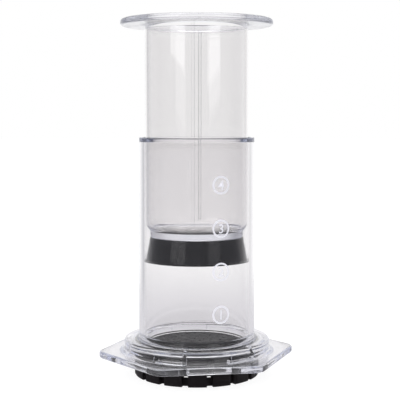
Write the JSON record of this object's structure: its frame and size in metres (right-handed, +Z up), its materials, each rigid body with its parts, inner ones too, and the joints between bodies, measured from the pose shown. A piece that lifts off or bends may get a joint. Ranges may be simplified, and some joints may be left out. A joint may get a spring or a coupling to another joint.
{
  "type": "piston coffee press",
  "caption": "Hand-driven piston coffee press: clear hexagonal-footed chamber, clear plunger with rubber seal, and a twist-on perforated filter cap.",
  "frame": {"origin": "centre of the filter cap's foot, on the press's axis, where it stands", "axes": "+Z up along the press's axis, from the cap to the push flange; +X through a corner of the hexagonal foot flange"},
  "size_m": [0.1102, 0.0976, 0.1998],
  "materials": {
    "chamber_clear": "clear copolyester, polished, with white printed volume marks",
    "plunger_clear": "clear copolyester, polished, with fine mould seams",
    "seal_rubber": "smooth satin thermoplastic rubber",
    "cap_black": "satin black polypropylene, fine moulded grain"
  },
  "bodies": {
    "chamber": {"chamber": "chamber_clear"},
    "plunger": {"plunger": "plunger_clear", "seal": "seal_rubber"},
    "filter_cap": {"filter_cap": "cap_black"}
  },
  "joints": [
    {"name": "plunger_slide", "type": "slide", "parent": "chamber", "child": "plunger", "axis": [0, 0, 1], "range_m": [-0.0391, 0.0703]},
    {"name": "cap_twist", "type": "hinge", "parent": "chamber", "child": "filter_cap", "pos_m": [0, 0, 0], "axis": [0, 0, 1], "range_deg": [-30, 0]}
  ]
}
